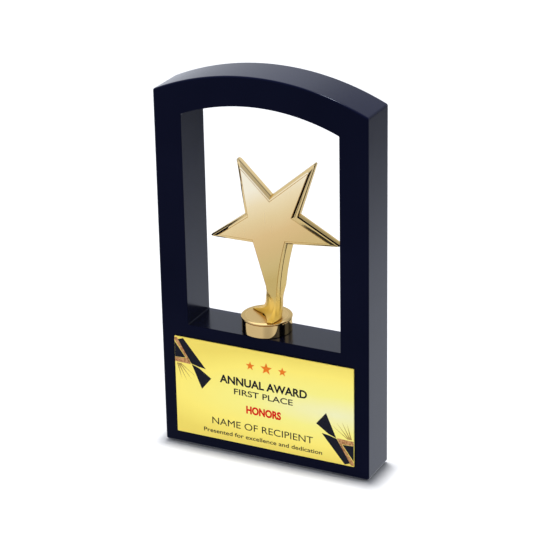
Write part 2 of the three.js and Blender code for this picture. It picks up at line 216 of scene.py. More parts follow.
def weigh_normals(made):
    """Keeps flat faces flat beside their rounded edges."""
    weighted = made.modifiers.new("weighted", "WEIGHTED_NORMAL")
    weighted.keep_sharp = True
    weighted.mode = "FACE_AREA"
    return settle(made)


def keep(made, slot, *nodes):
    """Rides a piece on the body in place of the CAD nodes it stands for, which it hides. The slot is not
    used.
    """
    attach(made, BODY)
    if nodes:
        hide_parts(*nodes)
    return made


def quads_between(bm, rings, closed=False):
    """Faces between rings of equally many vertices."""
    pairs = list(zip(rings, rings[1:]))
    if closed:
        pairs.append((rings[-1], rings[0]))
    for first, second in pairs:
        count = len(first)
        for i in range(count):
            j = (i + 1) % count
            bm.faces.new((first[i], first[j], second[j], second[i]))


def offset(outline, distances):
    """Moves each side of a closed outline to its right by its own distance."""
    count = len(outline)
    sides = []
    for i, (x, z) in enumerate(outline):
        along = Vector(outline[(i + 1) % count]) - Vector((x, z))
        along.normalize()
        sides.append((Vector((x, z)) + Vector((along.y, -along.x)) * distances[i], along))
    moved = []
    for i, (start, along) in enumerate(sides):
        before, before_along = sides[i - 1]
        cross = before_along.cross(along)
        if abs(cross) < STRAIGHT:
            moved.append(start)
        else:
            moved.append(before + before_along * ((start - before).cross(along) / cross))
    return moved


def fillet(outline, radii, steps):
    """Rounds each corner that has a radius."""
    rounded = []
    count = len(outline)
    for i, corner in enumerate(outline):
        corner = Vector(corner)
        if radii[i] <= 0:
            rounded.append(corner)
            continue
        back = (Vector(outline[i - 1]) - corner).normalized()
        ahead = (Vector(outline[(i + 1) % count]) - corner).normalized()
        half = back.angle(ahead) / 2
        centre = corner + (back + ahead).normalized() * (radii[i] / math.sin(half))
        start = corner + back * (radii[i] / math.tan(half)) - centre
        turn = -start.angle_signed(corner + ahead * (radii[i] / math.tan(half)) - centre)
        for step in range(steps + 1):
            arm = Matrix.Rotation(turn * step / steps, 2) @ start
            rounded.append(centre + arm)
    return rounded


def prism(name, outline, front, back, materials, edge=0.0):
    """A sheet with an outline in X and Z, between two depths, with its front edge rounded."""
    bm = bmesh.new()
    rings = []
    layers = [(0.0, back), (0.0, front + edge)]
    for step in range(1, PLATE_EDGE_STEPS + 1):
        angle = math.pi / 2 * step / PLATE_EDGE_STEPS
        layers.append((edge * (1 - math.cos(angle)), front + edge * (1 - math.sin(angle))))
    for inset, depth in layers if edge else layers[:2]:
        ring = offset(outline, [-inset] * len(outline)) if inset else outline
        rings.append([bm.verts.new((x, depth, z)) for x, z in ring])
    quads_between(bm, rings)
    bm.faces.new(rings[0])
    bm.faces.new(rings[-1])
    return link(name, bm, materials)


# ---------------------------------------------------------------- materials

class Shader:
    """A short way to write a node tree."""

    def __init__(self, name):
        self.material = bpy.data.materials.new(name)
        self.material.use_nodes = True
        self.tree = self.material.node_tree
        self.bsdf = self.tree.nodes["Principled BSDF"]

    def node(self, kind, **values):
        """Adds a node; each value is a property of it or goes into its input of that name."""
        made = self.tree.nodes.new(kind)
        for key, value in values.items():
            if key in made.bl_rna.properties:
                setattr(made, key, value)
            else:
                self.put(value, made.inputs[key])
        return made

    def put(self, value, socket):
        """Links an output to a socket, or sets the socket to a plain value."""
        if isinstance(value, bpy.types.NodeSocket):
            self.tree.links.new(value, socket)
        else:
            socket.default_value = value

    def set(self, **values):
        """Feeds the Principled shader's inputs."""
        for key, value in values.items():
            self.put(value, self.bsdf.inputs[key.replace("_", " ")])

    def place(self, scale=(1, 1, 1)):
        """Object coordinates, stretched."""
        where = self.node("ShaderNodeTexCoord").outputs["Object"]
        return self.node("ShaderNodeMapping", Vector=where, Scale=scale).outputs["Vector"]

    def noise(self, scale, detail=3.0, where=None, roughness=0.5):
        """Soft noise from 0 to 1."""
        made = self.node("ShaderNodeTexNoise", Scale=scale, Detail=detail, Roughness=roughness)
        self.put(where or self.place(), made.inputs["Vector"])
        return made.outputs["Fac"]

    def ramp(self, value, stops):
        """A colour for a value from 0 to 1."""
        made = self.node("ShaderNodeValToRGB", Fac=value)
        band = made.color_ramp
        while len(band.elements) < len(stops):
            band.elements.new(1.0)
        for element, (position, colour) in zip(band.elements, stops):
            element.position = position
            element.color = (*colour, 1)
        return made.outputs["Color"]

    def span(self, value, low, high, start=0.0, end=1.0):
        """Maps a value from start..end to low..high."""
        made = self.node("ShaderNodeMapRange", Value=value)
        made.inputs["From Min"].default_value = start
        made.inputs["From Max"].default_value = end
        made.inputs["To Min"].default_value = low
        made.inputs["To Max"].default_value = high
        return made.outputs["Result"]

    def mix_colours(self, share, first, second):
        """A Mix node has a set of sockets for each type of data; its colours are at 6 and 7."""
        made = self.node("ShaderNodeMix", data_type="RGBA")
        self.put(share, made.inputs["Factor"])
        self.put(first, made.inputs[6])
        self.put(second, made.inputs[7])
        return made.outputs[2]

    def mix_values(self, share, first, second):
        """A Mix node's plain values are at 2 and 3."""
        made = self.node("ShaderNodeMix", data_type="FLOAT")
        self.put(share, made.inputs["Factor"])
        self.put(first, made.inputs[2])
        self.put(second, made.inputs[3])
        return made.outputs[0]

    def total(self, first, second):
        """The sum of two values."""
        made = self.node("ShaderNodeMath", operation="ADD")
        self.put(first, made.inputs[0])
        self.put(second, made.inputs[1])
        return made.outputs["Value"]

    def bump(self, height, strength, distance):
        """Fine relief."""
        made = self.node("ShaderNodeBump", Height=height, Strength=strength, Distance=distance)
        self.put(made.outputs["Normal"], self.bsdf.inputs["Normal"])


def colour(red, green, blue):
    """Linear colour of an sRGB one, given from 0 to 255."""
    def linear(value):
        value /= 255
        return value / 12.92 if value <= 0.04045 else ((value + 0.055) / 1.055) ** 2.4
    return linear(red), linear(green), linear(blue)


def painted_wood():
    """Satin lacquer, close to black: a gloss that grows at a low angle, over a faint orange peel."""
    made = Shader("painted_wood")
    cloud = made.noise(18, 2)
    tone = made.ramp(cloud, [(0.3, (0.0016, 0.0022, 0.0100)), (0.7, (0.0026, 0.0032, 0.0130))])
    facing = made.node("ShaderNodeLayerWeight", Blend=0.5).outputs["Facing"]
    made.set(Base_Color=tone, Roughness=made.span(made.noise(60, 4), 0.15, 0.21), IOR=1.5,
             Specular_Tint=(0.85, 0.95, 1.15, 1),
             Specular_IOR_Level=made.span(facing, 0.03, 0.34, 0.2, 0.6))
    made.bump(made.noise(420, 2), 0.03, 0.0004)
    return made.material


def bare_wood():
    """Planed softwood with the grain along Z."""
    made = Shader("bare_wood")
    grain = made.noise(26, 6, made.place((9, 9, 0.5)), 0.6)
    tone = made.ramp(grain, [(0.3, colour(150, 108, 64)), (0.5, colour(196, 156, 106)),
                             (0.7, colour(214, 180, 132))])
    made.set(Base_Color=tone, Roughness=made.span(grain, 0.62, 0.82))
    made.bump(grain, 0.3, 0.0003)
    return made.material


def disc_gold():
    """Gold plating over turned metal: polished round the side, with faint waves, and satin on top."""
    made = Shader("disc_gold")
    cloud = made.noise(35, 2)
    tone = made.ramp(cloud, [(0.3, colour(208, 176, 118)), (0.7, colour(216, 186, 129))])
    haze = made.noise(900, 3)
    place = made.node("ShaderNodeTexCoord").outputs["Object"]
    height = made.node("ShaderNodeSeparateXYZ", Vector=place).outputs["Z"]
    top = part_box("star_disc")[1].z
    satin = made.span(height, 0.0, 1.0, top - 0.05 * MM, top - 0.01 * MM)
    made.set(Base_Color=tone, Metallic=1.0, Specular_Tint=GOLD_RIM_TINT,
             Roughness=made.mix_values(satin, made.span(haze, 0.06, 0.11), made.span(haze, 0.26, 0.32)))
    made.bump(made.noise(140, 2), 0.03, 0.0005)
    return made.material


def cast_gold(name, stops, polish, grain_scale, dull_and_reflection_top):
    """The cast figure's gold: paler towards its upper left, a painted highlight, and at its foot duller,
    with a deeper yellow painted in as the gold's reflection of itself.
    """
    low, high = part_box("star_figure")
    made = Shader(name)
    place = made.node("ShaderNodeTexCoord").outputs["Object"]
    apart = made.node("ShaderNodeSeparateXYZ", Vector=place)
    # Painted highlight: the colour ramp runs paler towards the top and the left of the figure.
    height = made.span(apart.outputs["Z"], 0.0, 1.0, low.z + 0.2 * (high.z - low.z), high.z)
    across = made.span(apart.outputs["X"], 0.16, -0.30, low.x, high.x)
    cloud = made.span(made.noise(28, 2), -0.06, 0.06)
    upper = made.ramp(made.total(made.total(height, across), cloud), stops)
    # Painted reflection: low on the foot the gold turns a deeper yellow, duller and barely metallic,
    # standing in for the gold mirroring itself.
    foot = made.span(apart.outputs["Z"], 1.0, 0.0, low.z + FOOT_DULL_AND_REFLECTION_HEIGHT, low.z + dull_and_reflection_top * MM)
    yellow = (*colour(255, 206, 86), 1)
    grain = made.noise(500, 4, made.place(grain_scale))
    made.set(Base_Color=made.mix_colours(foot, upper, yellow), Specular_Tint=GOLD_RIM_TINT,
             Metallic=made.mix_values(foot, 1.0, 0.22),
             Roughness=made.mix_values(foot, made.span(grain, *polish), made.span(grain, 0.34, 0.44)))
    made.bump(grain, 0.02, 0.0002)
    return made.material


def star_gold():
    """Polished edges and sides, with a mild painted highlight towards the upper left."""
    stops = [(0.0, colour(212, 184, 118)), (0.4, colour(218, 188, 128)), (1.0, colour(232, 206, 154))]
    return cast_gold("star_gold", stops, (0.06, 0.11), (1, 1, 1), 22)


def face_gold():
    """The face and its lip, brushed to a satin, with a strong painted highlight that pales them towards the
    upper left.
    """
    stops = [(0.0, colour(204, 176, 108)), (0.12, colour(214, 187, 124)), (0.24, colour(222, 189, 128)),
             (0.36, colour(230, 195, 136)), (0.50, colour(238, 211, 156)), (0.62, colour(247, 225, 178)),
             (0.76, colour(255, 243, 214)), (1.0, colour(255, 246, 220))]
    return cast_gold("face_gold", stops, (0.22, 0.30), (1, 1, 0.15), 15)


def steel():
    """Bright zinc-plated steel."""
    made = Shader("steel")
    cloud = made.noise(300, 3)
    tone = made.ramp(cloud, [(0.3, colour(165, 168, 172)), (0.7, colour(196, 199, 204))])
    made.set(Base_Color=tone, Metallic=1.0, Roughness=made.span(cloud, 0.28, 0.42))
    made.bump(made.noise(1500, 3), 0.05, 0.0002)
    return made.material


def felt():
    """Black felt: short tangled fibres."""
    made = Shader("felt")
    fibre = made.noise(2600, 6, made.place((1, 1, 0.6)), 0.7)
    tone = made.ramp(fibre, [(0.35, (0.004, 0.004, 0.005)), (0.7, (0.02, 0.02, 0.022))])
    made.set(Base_Color=tone, Roughness=0.95, Sheen_Weight=0.25, Sheen_Roughness=0.5)
    made.bump(fibre, 0.6, 0.0005)
    return made.material


def adhesive():
    """White foam tape with fine cells."""
    made = Shader("adhesive")
    cells = made.noise(3200, 4)
    tone = made.ramp(cells, [(0.3, colour(205, 204, 198)), (0.7, colour(240, 239, 234))])
    made.set(Base_Color=tone, Roughness=0.85)
    made.bump(cells, 0.4, 0.0002)
    return made.material


def printed_gold(low, high):
    """Printed film: palest right of the middle, a deeper yellow away from there, with fine grain."""
    made = Shader("printed_gold")
    place = made.node("ShaderNodeTexCoord").outputs["Object"]
    apart = made.node("ShaderNodeSeparateXYZ", Vector=place)
    across = made.span(apart.outputs["X"], -1, 1, low.x, high.x)
    height = made.span(apart.outputs["Z"], -1, 1, low.z, high.z)
    flat = made.node("ShaderNodeCombineXYZ", X=across, Y=height, Z=0.0)
    centre = made.node("ShaderNodeMapping", Vector=flat.outputs["Vector"], Location=(-0.55, 0.0, 0),
                       Scale=(0.7, 1.7, 1))
    distance = made.node("ShaderNodeVectorMath", operation="LENGTH")
    made.put(centre.outputs["Vector"], distance.inputs[0])
    cloud = made.noise(22, 3)
    drift = made.node("ShaderNodeMath", operation="MULTIPLY_ADD")
    for socket, value in zip(drift.inputs, (cloud, 0.35, distance.outputs["Value"])):
        made.put(value, socket)
    tone = made.ramp(made.span(drift.outputs["Value"], 0, 1, 0.15, 1.9), [
        (0.04, colour(242, 238, 182)), (0.36, colour(248, 238, 132)),
        (0.72, colour(253, 233, 112)), (1.0, colour(240, 216, 96))])
    made.set(Base_Color=tone, Roughness=made.span(made.noise(700, 2), 0.32, 0.42),
             Specular_IOR_Level=0.2)
    made.bump(made.noise(1800, 2), 0.02, 0.0002)
    return made.material


def ink(name, dark, light):
    """A printed colour with slightly uneven cover."""
    made = Shader(name)
    cover = made.noise(900, 3)
    made.set(Base_Color=made.ramp(cover, [(0.35, dark), (0.65, light)]),
             Roughness=made.span(cover, 0.5, 0.6), Specular_IOR_Level=0.1)
    return made.material


PAINT = painted_wood()
WOOD = bare_wood()
DISC_GOLD = disc_gold()
STAR_GOLD = star_gold()
FACE_GOLD = face_gold()
STEEL = steel()
FELT = felt()
TAPE = adhesive()
DARK_INK = ink("dark_ink", colour(14, 15, 26), colour(22, 23, 36))
RED_INK = ink("red_ink", colour(204, 2, 4), colour(220, 8, 8))
ORANGE_INK = ink("orange_ink", colour(226, 112, 22), colour(238, 128, 34))
COPPER_INK = ink("copper_ink", colour(150, 98, 56), colour(206, 156, 104))
LEAF_INK = ink("leaf_ink", colour(150, 122, 60), colour(186, 156, 84))


# ---------------------------------------------------------------- painted frame

def arched_outline(half, foot, crown, rise, corner_radius, grow):
    """A rectangle with an arched top, grown outwards, as (x, z) from the lower left corner round."""
    shoulder = crown - rise
    radius = (half * half + rise * rise) / (2 * rise)
    centre = crown - radius
    sweep = math.asin(half / radius)
    arch = []
    for step in range(1, ARCH_STEPS):
        angle = sweep * (1 - 2 * step / ARCH_STEPS)
        arch.append((radius * math.sin(angle), centre + radius * math.cos(angle)))
    corners = [(-half, foot), (half, foot), (half, shoulder), *arch, (-half, shoulder)]
    sizes = [corner_radius + grow] * 3 + [0.0] * len(arch) + [corner_radius + grow]
    return fillet(offset(corners, [grow] * len(corners)), sizes, CORNER_STEPS)


def edge_arc(outline, radius, grow, depth):
    """Rings round one edge of the painted frame, from its side to its face."""
    arc = []
    for step in range(EDGE_STEPS + 1):
        angle = math.pi / 2 * step / EDGE_STEPS
        inset = radius * (1 - math.cos(angle))
        arc.append((outline(grow * inset), depth - radius * (1 - math.sin(angle))))
    return arc


def frame_ring():
    """The whole painted frame as one closed ring round its window."""
    left_low, left_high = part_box("left_stile")
    _, right_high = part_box("right_stile")
    _, head_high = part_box("arched_head")
    _, sill_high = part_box("sill_board")
    half = right_high.x
    window_half = -left_high.x
    depth = right_high.y
    window_crown = head_high.z - (half - window_half)

    def outer(grow):
        return arched_outline(half, left_low.z, head_high.z, ARCH_RISE, OUTER_CORNER_RADIUS, grow)

    def window(grow):
        return arched_outline(window_half, sill_high.z, window_crown, WINDOW_RISE,
                              WINDOW_CORNER_RADIUS, grow)

    half_section = edge_arc(outer, OUTER_EDGE_RADIUS, -1, depth)
    half_section += edge_arc(window, WINDOW_EDGE_RADIUS, 1, depth)[::-1]
    order = [(outline, -y) for outline, y in half_section] + half_section[::-1]
    bm = bmesh.new()
    rings = [[bm.verts.new((x, y, z)) for x, z in outline] for outline, y in order]
    quads_between(bm, rings, closed=True)
    bmesh.ops.recalc_face_normals(bm, faces=bm.faces)
    return bm


def cut_from(source, name, planes):
    """The part of the painted frame behind every plane, closed where it is cut."""
    bm = source.copy()
    for point, normal in planes:
        cut = bmesh.ops.bisect_plane(
            bm, geom=[*bm.verts, *bm.edges, *bm.faces], dist=TINY,
            plane_co=point, plane_no=normal, clear_outer=True)
        edges = [e for e in cut["geom_cut"] if isinstance(e, bmesh.types.BMEdge)]
        bmesh.ops.holes_fill(bm, edges=edges, sides=0)
    return weigh_normals(link(name, bm, [PAINT]))


def painted_frame():
    """Cuts the ring into its members, which meet in the middle of each glue line."""
    whole = frame_ring()
    _, left_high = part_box("left_stile")
    _, front_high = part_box("front_panel")
    rear_low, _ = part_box("rear_panel")
    left_seam = (left_high.x + SEAM, 0, 0)
    right_seam = (-left_high.x - SEAM, 0, 0)
    head_seam = (0, 0, left_high.z + SEAM)
    sill_seam = (0, 0, front_high.z + SEAM)
    within_left = (left_seam, (1, 0, 0))
    within_right = (right_seam, (-1, 0, 0))
    between_stiles = [(left_seam, (-1, 0, 0)), (right_seam, (1, 0, 0))]
    below_head = (head_seam, (0, 0, 1))
    above_head_seam = (head_seam, (0, 0, -1))
    below_sill = (sill_seam, (0, 0, 1))
    above_sill_seam = (sill_seam, (0, 0, -1))
    in_front = ((0, front_high.y, 0), (0, 1, 0))
    behind = ((0, rear_low.y, 0), (0, -1, 0))
    pieces = {
        "left_stile": [within_left, below_head],
        "right_stile": [within_right, below_head],
        "arched_head": [above_head_seam],
        "sill_board": [*between_stiles, below_head, above_sill_seam],
        "front_panel": [*between_stiles, below_sill, in_front],
        "rear_panel": [*between_stiles, below_sill, behind],
    }
    for node, planes in pieces.items():
        keep(cut_from(whole, "painted_" + node, planes), "painted_wood", node)
    whole.free()


# ---------------------------------------------------------------- star figure

def between(start, end, share):
    """The point at a share of the way."""
    return Vector(start).lerp(Vector(end), share)


def star_outline():
    """The face down to the neck, counter-clockwise seen from the front, and what each side belongs to."""
    curve = []
    for step in range(STEM_STEPS + 1):
        share = step / STEM_STEPS
        curve.append([
            (1 - share) ** 2 * a + 2 * share * (1 - share) * b + share ** 2 * c
            for a, b, c in zip(STEM_RIGHT, STEM_WAIST, LOWER_RIGHT_NOTCH)])
    upper = [between(UPPER_LEFT_TIP, LEFT_NOTCH, share) for share in STEEP_FROM_UPPER_TIP]
    arm = [between(LEFT_TIP, LEFT_NOTCH, share) for share in STEEP_FROM_LEFT_TIP[::-1]]
    sides = [
        (UPPER_NOTCH, "plain"), (UPPER_LEFT_TIP, "steep"), (upper[0], "steep"), (upper[1], "left_side"),
        (LEFT_NOTCH, "plain"), (arm[0], "plain"), (arm[1], "steep"), (LEFT_TIP, "plain"),
        (LOWER_LEFT_NOTCH, "stem_left"), (STEM_LEFT, "neck"),
        *[(point, "stem_right") for point in curve[:-1]], (curve[-1], "plain"),
        (RIGHT_TIP, "steep"), (RIGHT_NOTCH, "right_side"), (UPPER_RIGHT_TIP, "plain"),
    ]
    return [Vector(point) for point, _ in sides], [kind for _, kind in sides]


def is_tip(outline, i):
    """Whether a corner is one of the star's points."""
    before = outline[i] - outline[i - 1]
    ahead = outline[(i + 1) % len(outline)] - outline[i]
    return before.angle(ahead) > TIP_TURN


def side_distances(kinds, side_width):
    """How far each side stands out at one depth. The stem's right side changes from neck to top."""
    first_stem_side = kinds.index("stem_right")
    distances = []
    for i, kind in enumerate(kinds):
        rises = (i - first_stem_side + 0.5) / STEM_STEPS
        stem_right = side_width["stem_neck"] * (1 - rises) + side_width["stem_top"] * rises
        distances.append(side_width.get(kind, stem_right))
    return distances


def tip_radii(outline, roundness):
    """The radius at each corner, which is 0 away from the tips."""
    radii = [0.0] * len(outline)
    for i, corner in enumerate(outline):
        if is_tip(outline, i):
            full = UPPER_TIP_RADIUS if corner.y > UPPER_NOTCH[1] else SIDE_TIP_RADIUS
            radii[i] = FACE_TIP_RADIUS + (full - FACE_TIP_RADIUS) * roundness
    return radii


def star_rings():
    """The outline at each step of the profile, with its tips a little rounded, and its depth."""
    outline, kinds = star_outline()
    rings = []
    for depth, *widths in STAR_PROFILE:
        side_width = dict(zip(PROFILE_SIDES, widths))
        side_width["neck"] = 0.0
        moved = offset(outline, side_distances(kinds, side_width))
        moved[kinds.index("right_side")].x += side_width["notch"]
        roundness = min(1.0, side_width["plain"] / FULL_ROUND_WIDTH)
        rings.append((fillet(moved, tip_radii(outline, roundness), TIP_STEPS), depth))
    return rings


def resample(points, shares):
    """Points along a smooth curve through the given ones, at shares from 0 to 1 of their count."""
    made = []
    last = len(points) - 1
    for share in shares:
        at = share * last
        i = min(int(at), last - 1)
        t = at - i
        p1, p2 = Vector(points[i]), Vector(points[i + 1])
        p0 = Vector(points[i - 1]) if i > 0 else p1 * 2 - p2
        p3 = Vector(points[i + 2]) if i + 2 <= last else p2 * 2 - p1
        made.append(0.5 * (2 * p1 + (p2 - p0) * t + (2 * p0 - 5 * p1 + 4 * p2 - p3) * t * t
                           + (3 * p1 - p0 - 3 * p2 + p3) * t ** 3))
    return made


def waist_section():
    """The stem's waist: its right side from front to back, then its left side."""
    spans = len(WAIST_DEPTHS) - 1
    shares = []
    for depth in sorted(depth for depth, *_ in STAR_PROFILE):
        i = max(k for k in range(spans) if WAIST_DEPTHS[k] <= depth)
        within = (depth - WAIST_DEPTHS[i]) / (WAIST_DEPTHS[i + 1] - WAIST_DEPTHS[i])
        shares.append((i + within) / spans)
    return resample(WAIST_RIGHT, shares) + resample(WAIST_LEFT, shares)[::-1]


def foot_section():
    """The foot's outline on the disc, with as many points as the waist."""
    last = len(STAR_PROFILE) - 1
    shares = [i / last for i in range(last + 1)]
    return resample(FOOT_RIGHT, shares) + resample(FOOT_LEFT, shares)[::-1]


def neck_section():
    """Where the foot meets the stem: the profile's right side, then its left side."""
    right = [Vector((STEM_RIGHT[0] + out, depth)) for depth, *_, out, _ in STAR_PROFILE]
    left = [Vector((STEM_LEFT[0] - out, depth)) for depth, *_, out in STAR_PROFILE]
    return right + left[::-1]


def foot_rings():
    """Sections of the foot from the disc up to the neck, with their heights."""
    foot = foot_section()
    waist = waist_section()
    neck = neck_section()
    rings = [(foot, 0.0)]
    for step in range(FOOT_STEPS + 1):
        rise = (step / FOOT_STEPS) ** FOOT_STEP_GROWTH
        share = (1 - rise) ** FOOT_FLARE
        height = FOOT_RIM + (WAIST_HEIGHT - FOOT_RIM) * rise
        rings.append(([w.lerp(f, share) for w, f in zip(waist, foot)], height))
    for step in range(1, NECK_STEPS + 1):
        rise = step / NECK_STEPS
        share = rise * rise * (3 - 2 * rise)
        height = WAIST_HEIGHT + (STEM_LEFT[1] - WAIST_HEIGHT) * rise
        rings.append(([w.lerp(n, share) for w, n in zip(waist, neck)], height))
    return rings


def add_star(bm, base):
    """The star from its face to its back, open at the neck."""
    rings = []
    for outline, depth in star_rings():
        rings.append([bm.verts.new((x * MM, depth * MM, base + z * MM)) for x, z in outline])
    quads_between(bm, rings)
    bm.faces.new(rings[0])
    bm.faces.new(rings[-1])
    neck_height = base + STEM_LEFT[1] * MM
    at_neck = [f for f in bm.faces
               if all(abs(v.co.z - neck_height) < TINY for v in f.verts)]
    bmesh.ops.delete(bm, geom=at_neck, context="FACES_ONLY")


def add_foot(bm, base):
    """The stem's foot from the disc to the neck, closed underneath."""
    rings = []
    for outline, height in foot_rings():
        rings.append([bm.verts.new((x * MM, y * MM, base + height * MM)) for x, y in outline])
    quads_between(bm, rings)
    bm.faces.new(rings[0])


def star_figure():
    """The casting: the star and its foot, joined at the neck, satin in front and turned on the bolt."""
    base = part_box("star_figure")[0].z
    bm = bmesh.new()
    add_star(bm, base)
    add_foot(bm, base)
    bmesh.ops.remove_doubles(bm, verts=bm.verts, dist=WELD_REACH)
    bmesh.ops.dissolve_degenerate(bm, edges=bm.edges, dist=TINY)
    for face in bm.faces:
        if max(v.co.y for v in face.verts) < SATIN_DEPTH * MM:
            face.material_index = 1
    bmesh.ops.rotate(bm, verts=bm.verts, cent=(0, 0, 0), matrix=Matrix.Rotation(STAR_TURN, 3, "Z"))
    made = link("polished_star", bm, [STAR_GOLD, FACE_GOLD], SHARP_ANGLE, base + SOFT_HEIGHT * MM)
    keep(weigh_normals(made), "gold_plate", "star_figure")


def disc_profile(radius, height):
    """Half the disc's section, from the bore underneath round the rim to the bore on top."""
    side = radius - DISC_SIDE_INSET
    groove = radius - GROOVE_DEPTH
    groove_top = height - GROOVE_TOP
    groove_foot = height - GROOVE_FOOT
    profile = [
        (DISC_BORE_RADIUS, 0), (side - DISC_FOOT_BEVEL, 0), (side, DISC_FOOT_BEVEL),
        (side, groove_foot - GROOVE_BEVEL), (side - GROOVE_BEVEL, groove_foot),
        (groove, groove_foot), (groove, groove_top), (radius - GROOVE_BEVEL, groove_top)]
    for step in range(RIM_STEPS + 1):
        angle = RIM_START + RIM_SWEEP * step / RIM_STEPS
        profile.append((radius - RIM_RADIUS + RIM_RADIUS * math.cos(angle),
                        height - RIM_DROP - RIM_RADIUS + RIM_RADIUS * math.sin(angle)))
    start = profile[-1]
    for step in range(1, SHOULDER_STEPS + 1):
        share = step / SHOULDER_STEPS
        profile.append((start[0] + (radius - SHOULDER_WIDTH - start[0]) * share,
                        start[1] + (height - start[1]) * (1 - (1 - share) ** 2)))
    profile.append((DISC_BORE_RADIUS, height))
    return profile


def star_disc():
    """The round disc under the star, with a groove under its rim and a bore for the bolt."""
    low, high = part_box("star_disc")
    centre = (low + high) / 2
    profile = disc_profile((high.x - low.x) / 2, high.z - low.z)
    bm = bmesh.new()
    rings = []
    for i in range(DISC_SIDES):
        angle = 2 * math.pi * i / DISC_SIDES
        out = Vector((math.cos(angle), math.sin(angle), 0))
        ring = [out * reach + Vector((centre.x, centre.y, low.z + rise)) for reach, rise in profile]
        rings.append([bm.verts.new(point) for point in ring])
    quads_between(bm, rings, closed=True)
    made = link("polished_disc", bm, [DISC_GOLD], DISC_SHARP_ANGLE)
    keep(weigh_normals(made), "gold_plate", "star_disc")


# ---------------------------------------------------------------- plate

def plate_point(u, v):
    """A place on the plate, as shares of its width and height from the lower left."""
    low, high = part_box("nameplate")
    return Vector((low.x + (high.x - low.x) * u, low.z + (high.z - low.z) * v))


def nameplate():
    """The printed sheet itself."""
    low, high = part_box("nameplate")
    corners = [plate_point(0, 0), plate_point(1, 0), plate_point(1, 1), plate_point(0, 1)]
    outline = fillet(corners, [PLATE_CORNER_RADIUS] * len(corners), PLATE_CORNER_STEPS)
    made = prism("printed_plate", outline, low.y, high.y, [printed_gold(low, high)], PLATE_EDGE_RADIUS)
    keep(weigh_normals(made), "printed_plate", "nameplate")


def printed(name, outline, material):
    """A flat printed shape on the plate."""
    low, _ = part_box("nameplate")
    made = prism(name, outline, low.y - PRINT_THICKNESS, low.y, [material])
    return keep(made, "printed_plate")


def text_mesh(name, words, weight):
    """A line of words as a solid mesh, in the font's own size."""
    curve = bpy.data.curves.new(name, "FONT")
    curve.body = words
    curve.align_x = "CENTER"
    curve.offset = weight
    curve.resolution_u = 6
    curve.extrude = 0.5
    text = bpy.data.objects.new(name, curve)
    bpy.context.scene.collection.objects.link(text)
    graph = bpy.context.evaluated_depsgraph_get()
    mesh = bpy.data.meshes.new_from_object(text.evaluated_get(graph))
    bpy.data.objects.remove(text)
    return mesh


def lettering(name, words, u, v, width, cap, material, weight=0.0):
    """A centred line of words, set to a width and a capital height given as shares of the plate."""
    low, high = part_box("nameplate")
    mesh = text_mesh(name, words, weight)
    across = [vertex.co.x for vertex in mesh.vertices]
    upward = [vertex.co.y for vertex in mesh.vertices]
    wide = (high.x - low.x) * width / (max(across) - min(across))
    tall = (high.z - low.z) * cap / max(upward)
    middle = plate_point(u, v)
    place = Matrix(((wide, 0, 0, middle.x - wide * (max(across) + min(across)) / 2),
                    (0, 0, -PRINT_THICKNESS, low.y - PRINT_THICKNESS / 2),
                    (0, tall, 0, middle.y - (high.z - low.z) * cap / 2),
                    (0, 0, 0, 1)))
    mesh.transform(place)
    bm = bmesh.new()
    bm.from_mesh(mesh)
    bmesh.ops.remove_doubles(bm, verts=bm.verts, dist=TINY)
    return keep(link(name, bm, [material]), "printed_plate")


def small_star(name, u, v, radius):
    """A plain five-pointed star."""
    centre = plate_point(u, v)
    points = []
    for i in range(10):
        angle = math.pi / 2 + math.pi * i / 5
        reach = radius if i % 2 == 0 else radius * SMALL_STAR_INNER
        points.append(centre + Vector((math.cos(angle), math.sin(angle))) * reach)
    return printed(name, points, ORANGE_INK)


def ornament(word, turn):
    """A dark bar, wedges, copper edges and a leaf. They are lower right if turn is 1, else upper left."""
    shapes = {
        "bar": ([(0.020, 0.970), (0.050, 0.992), (0.176, 0.712), (0.136, 0.722), (0.094, 0.742)], DARK_INK),
        "wedge": ([(0.096, 0.736), (0.138, 0.708), (0.206, 0.623), (0.151, 0.497)], DARK_INK),
        "side_wedge": ([(0.001, 0.945), (0.062, 0.792), (0.001, 0.785)], DARK_INK),
        "copper_edge": ([(0.001, 0.990), (0.016, 0.990), (0.092, 0.742), (0.078, 0.755), (0.001, 0.960)],
                        COPPER_INK),
        "copper_base": ([(0.001, 0.783), (0.066, 0.788), (0.092, 0.734), (0.001, 0.738)], COPPER_INK),
    }
    for i, (reach, drop) in enumerate([(0.030, 0.16), (0.055, 0.17), (0.080, 0.15), (0.098, 0.11)]):
        root = (0.010 + 0.006 * i, 0.725)
        tip = (root[0] + reach * 0.9, root[1] - drop)
        shapes["leaf_" + str(i + 1)] = ([root, (root[0] + 0.008, root[1]), tip], LEAF_INK)
    for name, (points, material) in shapes.items():
        if turn > 0:
            points = [(1 - u, 1 - v) for u, v in points]
        printed(name + "_" + word, [plate_point(u, v) for u, v in points], material)


def plate_print():
    """Three small stars, the lines of words, and an ornament in two corners."""
    for i, (u, radius) in enumerate([(0.43, 3.1), (0.52, 4.1), (0.61, 3.1)]):
        small_star("print_star_" + str(i + 1), u, 0.835, radius * MM)
    lettering("print_title", "ANNUAL AWARD", 0.50, 0.65, 0.49, 0.081, DARK_INK, 0.03)
    lettering("print_subtitle", "FIRST PLACE", 0.50, 0.54, 0.33, 0.060, DARK_INK, 0.01)
    lettering("print_rank", "HONORS", 0.50, 0.375, 0.196, 0.078, RED_INK, 0.045)
    lettering("print_recipient", "NAME OF RECIPIENT", 0.49, 0.19, 0.57, 0.070, DARK_INK)
    lettering("print_reason", "Presented for excellence and dedication", 0.49, 0.08, 0.67, 0.042,
              DARK_INK, 0.012)
    for word, turn in (("left", -1), ("right", 1)):
        ornament(word, turn)


# ---------------------------------------------------------------- studio

